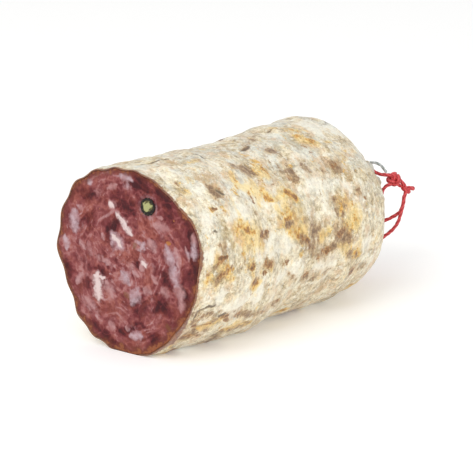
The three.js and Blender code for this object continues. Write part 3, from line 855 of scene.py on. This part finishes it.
meat = {
    "around": 512,
    "ring": 0.25,
    "gap": 0.05,
    "pieces": 900,
    "fatShare": 0.13,
    "seed": 5,
    "faceRadius": 28.0,
    "scrapMiddle": 28.5,
    "streakMiddle": 29.0,
    # marks: side and height in mm at each end, half width; the side is towards -Y
    "fat": [
        (5.7, 29.5, 7.2, 28.1, 1.06), (24.5, 35.7, 25.2, 34.2, 0.86), (-7.9, 20.6, -5.7, 16.4, 1.63),
        (-6, 36, -2.3, 32.4, 1.82), (-21.1, 40.7, -20.7, 34.7, 1.63), (-24.6, 32.4, -23.8, 28.3, 1.06),
        (3.8, 20.3, 2.2, 16.2, 1.82), (6.4, 21.1, 9, 20.4, 1.15), (14.6, 35.4, 16.9, 30.1, 1.44),
        (16.9, 30.1, 18.7, 25.1, 1.63), (18.7, 25.1, 20.8, 20.5, 1.44), (20.8, 20.5, 20.5, 16.6, 1.15),
        (17.7, 35.5, 19.4, 30.1, 0.86), (13.4, 22.4, 15.5, 20.8, 1.25), (24.4, 36.7, 25.3, 33.8, 1.25),
        (24.7, 40.8, 25.2, 37.2, 0.96), (-2.9, 54.5, 1.2, 53.6, 1.15), (-6.9, 45.9, -5.5, 44.1, 1.44),
        (10, 41.7, 15.2, 40.8, 1.25), (11, 43.9, 12.8, 43.5, 0.67), (-19.7, 42.8, -18, 41.9, 0.86),
        (-15.6, 51.2, -14.8, 50, 0.96), (-8, 49.9, -4.8, 51.1, 0.77), (-1.7, 24.7, 0.4, 22.1, 1.82),
        (1.5, 5.5, 6.2, 6.5, 1.25), (-6.9, 8.1, -4.7, 6.9, 0.96), (-17.9, 21.9, -19.8, 18.2, 0.96),
        (5.1, 33.2, 6.6, 35.4, 0.77), (8.2, 36.3, 10.7, 33.3, 1.25), (-16, 14.4, -12.5, 11.9, 1.06),
        (-9.9, 34.9, -9.4, 34.1, 0.77), (-0.6, 7.7, 1.5, 7.7, 0.58), (21.6, 36.6, 23.2, 32.4, 0.67),
        (9.3, 25.8, 11.4, 23.7, 0.67), (-18.3, 31.8, -16.7, 29.5, 0.77), (2.2, 25.8, 4.3, 24.9, 0.86),
    ],
    # brightest fat, partly a painted highlight: the streak of the first marks is glare on wet fat
    "brightFatAndGlare": [
        (-4.3, 42.4, 1.7, 36.9, 1.1), (-2.5, 41.2, -0.1, 39.4, 1.3), (-11.7, 22.6, -11.1, 14.5, 1.73),
        (-12.6, 22, -8.9, 21.9, 0.86), (5.7, 29.5, 7.2, 28.1, 0.75), (-7.2, 45.7, -5.9, 44.5, 1.06),
        (-5.6, 35.6, -2.8, 33, 0.9),
    ],
    "lavender": [
        (-21.1, 40.7, -20.7, 34.7, 2.88), (-24.6, 32.4, -23.8, 28.3, 1.92), (14.6, 35.4, 18.7, 25.1, 1.5),
        (3.8, 20.3, 2.2, 16.2, 2.69), (24.4, 36.7, 25.3, 33.8, 2.4), (-2.9, 54.5, 1.2, 53.6, 2.4),
        (-6, 36, -2.3, 32.4, 2.88), (-1.7, 24.7, 0.4, 22.1, 2.21), (5.8, 49.8, 10.4, 47.3, 2.88),
        (1.5, 5.5, 6.2, 6.5, 2.4), (5.1, 33.2, 6.6, 35.4, 1.73), (-12.4, 24.5, -7.7, 23.9, 1.44),
        (-17.9, 46, -14.8, 51.1, 1.92),
    ],
    "dark": [
        (-5.4, 48.2, 1.9, 45.9, 2.02), (-1.3, 46.2, 1.9, 43.9, 1.63), (1.7, 53.2, 6.8, 51.9, 2.02),
        (10.8, 52.6, 15.9, 48, 1.54), (14.6, 45.5, 17.3, 41.9, 1.34), (26.2, 30.5, 25.8, 26.6, 1.25),
        (5.9, 17.7, 3.7, 13.8, 2.21), (11.5, 19.4, 14.2, 16.4, 2.21), (-22.7, 45.3, -17.3, 48.4, 1.15),
        (-15.5, 20.3, -15.2, 17.5, 1.44), (-11.9, 24.6, -8.2, 23.8, 0.96),
        (-17.3, 38.6, -14.7, 40.7, 1.25), (-8.1, 37.5, -7.9, 33.1, 0.86), (-24.1, 25.5, -23, 19.9, 1.25),
        (-14.3, 7.3, -4.7, 2.2, 1.15), (-3.7, 5.6, 2.5, 7.9, 0.77), (13.6, 27.2, 16.7, 23.1, 1.34),
        (23, 42.1, 24.5, 39.1, 0.96), (3.5, 10.2, 6.6, 9.1, 0.96), (-17.4, 44.9, -13.2, 46.8, 0.86),
        (-3.2, 41, -6.3, 37.2, 0.77), (3.1, 30.5, 4.2, 27.4, 0.67), (21.5, 24, 23, 21, 0.77),
        (11.7, 8.4, 9.8, 5.1, 1.06),
    ],
    "seams": [(-12.1, 23.4, -6.5, 22, 0.24), (-4.8, 42.7, 1, 36.7, 0.24)],
    "russet": [
        (-10.2, 14.3, -5.9, 12.5, 2.88), (5.5, 41.6, 9.1, 38.1, 2.4), (13.2, 35.1, 14.1, 37.3, 1.44),
        (-17.3, 40.7, -13.1, 41.8, 2.4), (6.7, 4.5, -0.5, -0.3, 1.92), (-1, 31.4, 3.1, 29.7, 1.92),
        (6.3, 25.3, 9.4, 21.7, 1.92), (-21.1, 45.5, -15.8, 48.9, 1.92), (20.2, 13.4, 23.6, 19.4, 2.4),
        (-4.5, 55.5, 2.7, 56.2, 1.73), (-25.3, 37.3, -25.8, 31.3, 1.44),
    ],
    "blackSpecks": [
        (15.4, 39, 15.4, 39, 0.42), (-12.6, 28.2, -12.6, 28.2, 0.38), (-8, 21.5, -8, 21.5, 0.3),
    ],
    "yellowSpecks": [
        (17.2, 43.8, 17.2, 43.8, 0.5), (-11.3, 42.9, -11.3, 42.9, 0.38), (5.2, 44, 5.2, 44, 0.42),
        (-16.7, 51.2, -16.7, 51.2, 0.38), (14.7, 36.8, 15.9, 36.6, 0.7),
    ],
    "oliveSpecks": [
        (-0.8, 18.6, 0.3, 17.1, 1.1), (15.7, 11.7, 16.3, 10.2, 1.2), (3, 34.6, 2.6, 32.9, 0.76),
    ],
    # colour of each kind of speck and the most of it
    "specks": [
        ("olive", (112, 72, 40), 0.55), ("yellow", (172, 112, 56), 0.8), ("black", (40, 24, 24), 0.95),
    ],
    "leanDark": (58, 12, 18),
    "lean": (102, 38, 41),
    "leanLight": (138, 75, 74),
    "leanPale": (168, 118, 115),
    "leanWarm": (98, 32, 26),
    "leanWarmLight": (158, 88, 72),
    "fatWarm": (174, 130, 129),
    "fatCool": (182, 157, 163),
    # the brightest fat and the painted glare on it
    "fatBrightAndGlare": (212, 192, 189),
    "rimBrown": (90, 38, 28),
    "rimEdge": (146, 88, 54),
    "browning": [(140, 30, 1.6), (182, 22, 1.0), (228, 34, 0.9), (-20, 45, 0.5)],  # degrees, spread, extra mm
}


def choppedMeat(side, height):
    # each scrap is an oval with a tone; a point takes the tones of the nearest ovals, weighted by closeness
    chance = np.random.default_rng(meat["seed"])
    count = meat["pieces"]
    share = np.sqrt(chance.uniform(0, 1, count))
    around = chance.uniform(0, 2 * np.pi, count)
    reach = meat["faceRadius"] * share
    u0, v0 = reach * np.sin(around), meat["scrapMiddle"] + reach * np.cos(around)
    near = ease(share, 0.2, 0.8)
    followsRim = chance.uniform(0, 1, count) < 0.4 + 0.6 * near
    rimward = -around + chance.normal(0, 0.25, count)
    lie = np.where(followsRim, rimward, chance.uniform(0, np.pi, count))
    long = chance.uniform(1.3, 2.8, count) * (1 + 0.8 * near)
    wide = long / chance.uniform(1.4, 3.2, count)
    tone = chance.uniform(0, 1, count)
    fat = (chance.uniform(0, 1, count) < meat["fatShare"]).astype(float)
    flat = np.stack([side.ravel(), height.ravel()], -1).astype(np.float32)
    tones = np.zeros(len(flat), np.float32)
    fats = np.zeros(len(flat), np.float32)
    cosine, sine = np.cos(lie).astype(np.float32), np.sin(lie).astype(np.float32)
    batch = 8000
    for start in range(0, len(flat), batch):
        block = flat[start:start + batch]
        du = block[:, :1] - u0[None].astype(np.float32)
        dv = block[:, 1:] - v0[None].astype(np.float32)
        d = ((du * cosine + dv * sine) / long) ** 2 + ((dv * cosine - du * sine) / wide) ** 2
        weight = np.exp(-3.0 * (d - d.min(1, keepdims=True)))
        weight = weight / weight.sum(1, keepdims=True)
        tones[start:start + batch] = weight @ tone
        fats[start:start + batch] = weight @ fat
    return tones.reshape(side.shape), fats.reshape(side.shape)


def meatRows():
    # distance behind the cut and share of the radius of each row: from the middle of the cut to its rim, back
    # along the wall and in to the middle of the back; the third value is 1 on the cut itself
    rings, recess = int(meat["faceRadius"] / meat["ring"]), casing["recess"]
    rows = [(0, (ring + 0.5) / rings * 0.985, 1) for ring in range(rings)]
    rows += [(0.03, 0.99, 1), (0.12, 0.996, 1), (0.35, 1, 1), (1.2, 1, 0), (recess - 0.3, 1, 0)]
    rows += [(recess - 0.1, share, 0) for share in (0.985, 0.6, 0.2)]
    return [np.array(column, float)[:, None] for column in zip(*rows)]


def makeMeat():
    # lean scraps, fat and streaks as fields over the cut, and the knife's crags and the fat's edges as relief
    look = meat
    inset = casing["thickness"] + look["gap"]
    x, shrink, onFront = meatRows()
    x, shrink, turn = np.broadcast_arrays(x, shrink, fullTurn(look["around"]))
    points = skinPoint(x, turn, (skinRadius(x, turn) - inset) * shrink)
    side, height = -points[..., 1], points[..., 2]
    spot = np.stack([side, height, np.zeros_like(side)], -1)
    sway = np.stack([clouds(spot, 2.6, seed, 2) - 0.5 for seed in (61, 64)], -1)
    u, v = side + 1.7 * sway[..., 0], height + 1.7 * sway[..., 1]

    def field(label, soft=False):
        return markField(u, v, look[label], soft)

    tone, scrapFat = choppedMeat(u, v)
    # streaks run out from the middle, bent by a drift
    drift = np.stack([cloud(spot, 9.0, seed) - 0.5 for seed in (67, 68)], -1)
    across = side + 9 * drift[..., 0] + sway[..., 0]
    up = height - look["streakMiddle"] + 9 * drift[..., 1] + sway[..., 1]
    reach = np.hypot(across, up) + 0.01
    streaks = clouds(np.stack([across / reach * 3.2, up / reach * 3.2, reach / 1.4], -1), 1.0, 71)
    tone = 0.48 * tone + 0.52 * (0.5 + 1.5 * (streaks - 0.5))
    degrees = np.degrees(turn)
    cornSide, cornHeight = form["corn"]
    cornAway = np.hypot(side - cornSide, height - cornHeight)
    halo = np.exp(-(((cornAway - 3.2) / 0.9) ** 2))
    dark = field("dark", True) + 0.8 * bellRound(degrees, 72, 66) * ease(shrink, 0.66, 0.93)
    fat = np.maximum(field("fat"), field("brightFatAndGlare"))
    fat = np.maximum(fat, 0.8 * scrapFat * (1 - ease(dark, 0.3, 0.8)))
    fat = np.maximum(fat, 0.66 * ease(streaks, 0.55, 0.72) * (1 - ease(dark, 0.2, 0.7)))
    fat = np.maximum(fat, 0.36 * halo)
    lavender = field("lavender") * 1.6 + halo + 0.9 * (clouds(spot, 5, 91, 2) - 0.45)
    rim = (1 - shrink) * look["faceRadius"]
    browning = sum(extra * bellRound(degrees, at, spread) for at, spread, extra in look["browning"])
    sheath = ease(1 - np.abs(2 * clouds(spot + 1.2 * sway[..., :1], 3.4, 121, 2) - 1), 0.86, 0.99)
    texture = 0.16 * (clouds(spot, 2.2, 101, 2) - 0.5) + 0.1 * (clouds(spot, 0.8, 111, 2) - 0.5)
    texture = texture + 0.1 * (ease(fat, 0.35, 0.6) - 0.4) - 0.22 * ease(field("seams"), 0.3, 0.9)
    crags = cutHeight(side, height) * (1 - shrink**6)
    moat = 0.22 * np.exp(-(((cornAway - 2.75) / 0.28) ** 2))
    points[..., 0] -= (crags + texture * np.minimum(1, rim / 0.6) - moat) * onFront
    looks = {
        "tone": tone, "fat": fat, "dark": dark + 0.3 * halo, "lavender": np.clip(lavender, 0, 1),
        "brightAndGlare": field("brightFatAndGlare"), "rim": rim - browning, "sheath": sheath * (1 - fat),
        "black": markField(side, height, look["blackSpecks"]),
        "yellow": markField(side, height, look["yellowSpecks"]),
        "olive": field("oliveSpecks"), "russet": field("russet", True),
    }
    addGrid("cutMeat", points, looks, meatMaterial(), ["sausage"])


def meatMaterial():
    # lean in shades of red, half-clear fat over it with ragged edges, the brightest fat partly a painted
    # highlight of glare on the wet fat, browner towards the rim, moist all over
    look = meat
    material, tree, shader = newMaterial("cutMeat")
    fine = grain(tree, 0.45, 4, 0.62, move=0.03)
    small = grain(tree, 1.1, 6, 0.62, move=0.07)
    ragged = swing(tree, small, 1.0)
    tone = swing(tree, small, 0.6, attribute(tree, "tone"))
    tone = swing(tree, fine, 0.3, tone)
    tone = calc(tree, "MULTIPLY_ADD", attribute(tree, "sheath"), 0.2, tone)
    tone = calc(tree, "MULTIPLY_ADD", attribute(tree, "dark"), -0.4, tone)
    shades = (look["leanDark"], look["lean"], look["leanLight"], look["leanPale"])
    colour = ramp(tree, tone, list(zip((0.0, 0.34, 0.62, 0.9), shades)))
    warm = calc(tree, "MULTIPLY_ADD", attribute(tree, "russet"), 0.16, grain(tree, 3.0, 6, 0.66, move=0.13))
    warmColour = ramp(tree, tone, [(0.1, look["leanWarm"]), (0.85, look["leanWarmLight"])])
    colour = cover(tree, colour, warmColour, warm, 0.46, 0.68, 0.6)
    fatColour = blend(tree, attribute(tree, "lavender"), look["fatWarm"], look["fatCool"])
    # bright fat and painted glare, covering the lean fully
    brightAndGlare = between(tree, calc(tree, "ADD", attribute(tree, "brightAndGlare"), ragged), 0.25, 0.75)
    fatColour = blend(tree, brightAndGlare, fatColour, look["fatBrightAndGlare"])
    fat = between(tree, calc(tree, "ADD", attribute(tree, "fat"), ragged), 0.12, 0.95)
    clear = between(tree, grain(tree, 2.4, 5, 0.6, move=0.11), 0.38, 0.6, 0.5, 0.92)
    clear = calc(tree, "MAXIMUM", clear, calc(tree, "MULTIPLY", brightAndGlare, 0.95))
    colour = blend(tree, calc(tree, "MULTIPLY", fat, clear), colour, fatColour)
    brown = swing(tree, grain(tree, 3.2, 5, 0.6, move=0.09), 6, attribute(tree, "rim"))
    colour = cover(tree, colour, look["rimBrown"], brown, 1.8, -0.4, 0.8)
    brown = swing(tree, small, 5, brown)
    colour = cover(tree, colour, look["rimEdge"], brown, 0.3, -1.4, 0.85)
    for label, shade, most in look["specks"]:
        speck = calc(tree, "MULTIPLY_ADD", ragged, 0.6, attribute(tree, label))
        colour = cover(tree, colour, shade, speck, 0.3, 0.75, most)
    join(tree, colour, shader.inputs["Base Color"])
    join(tree, between(tree, small, 0.3, 0.7, 0.36, 0.56), shader.inputs["Roughness"])
    shader.inputs["Specular IOR Level"].default_value = 0.2
    soak(shader, 0.06, (1.0, 0.4, 0.3), 0.5)
    bump(tree, shader, calc(tree, "MULTIPLY_ADD", small, 0.6, fine), 0.2, 0.4)
    return material


makeMeat()

# Peppercorn

corn = {
    "radius": 2.66,
    "proud": 0.25,
    "wall": 0.62,
    "around": 96,
    "wallPaint": (24, 18, 15),
    "innerWall": (84, 76, 42),
    "core": (160, 160, 108),
    "coreDark": (112, 106, 58),
}


def makePeppercorn():
    # a ball with a wrinkled shell, cut flat in front; the flat has a hard ring round a mealy core
    look = corn
    turn = fullTurn(look["around"])
    each = np.ones_like(turn)
    ball, flatAt = look["radius"], look["proud"]
    edge = math.sqrt(ball**2 - flatAt**2)
    inward = np.linspace(0.02, 1, 34)[:, None]
    back = np.linspace(0, 1, 26)[1:-1, None]
    start = math.atan2(edge, flatAt)
    polar = start + back * (math.pi - 0.03 - start)
    wrinkle = 0.06 * np.sin(9 * turn + 3 * np.sin(2 * turn)) + 0.04 * np.sin(17 * turn + 1)
    faceReach = inward * edge * (1 + wrinkle * inward**4 * 0.4)
    backReach = ball * np.sin(polar) * (1 + 0.4 * wrinkle * np.sin(polar))
    groove = np.exp(-(((inward * edge - (edge - look["wall"])) / 0.22) ** 2))
    dip = 0.1 * (1 - ease(inward * edge, 0.8, 1.8)) - 0.16 * groove - 0.12 * ease(inward, 0.9, 1)
    ahead = np.vstack([(-flatAt - dip) * each, -ball * np.cos(polar) * each])
    reach = np.vstack([faceReach, backReach])
    side, height = form["corn"]
    y = -side - reach * np.sin(turn)
    z = height + reach * np.cos(turn)
    lean = form["tiltPerSide"] * y + form["tiltPerHeight"] * (z - form["tiltHeight"])
    points = np.stack([ahead + lean, y, z], -1)
    fromMiddle = np.vstack([inward * edge * each, ball * np.ones_like(backReach)])
    addGrid("cutPeppercorn", points, {"reach": fromMiddle}, cornMaterial(), ["peppercorn"])


def cornMaterial():
    # a mealy core in a dark shell, the border between them uneven
    look = corn
    material, tree, shader = newMaterial("peppercorn")
    small = grain(tree, 0.7, 5, 0.6)
    uneven = swing(tree, grain(tree, 1.6, 4, 0.6, move=0.6), 3.4)
    reach = calc(tree, "ADD", attribute(tree, "reach"), swing(tree, small, 0.8, uneven))
    stops = [(0.0, look["core"]), (0.47, look["core"]), (0.58, look["innerWall"]), (0.68, look["wallPaint"])]
    colour = ramp(tree, calc(tree, "DIVIDE", reach, look["radius"]), stops)
    spots = grain(tree, 0.55, 3, 0.6, move=2.0)
    colour = cover(tree, colour, look["coreDark"], spots, 0.6, 0.68, 0.7)
    join(tree, colour, shader.inputs["Base Color"])
    shader.inputs["Roughness"].default_value = 0.6
    shader.inputs["Specular IOR Level"].default_value = 0.3
    bump(tree, shader, small, 0.15, 0.5)
    return material


makePeppercorn()
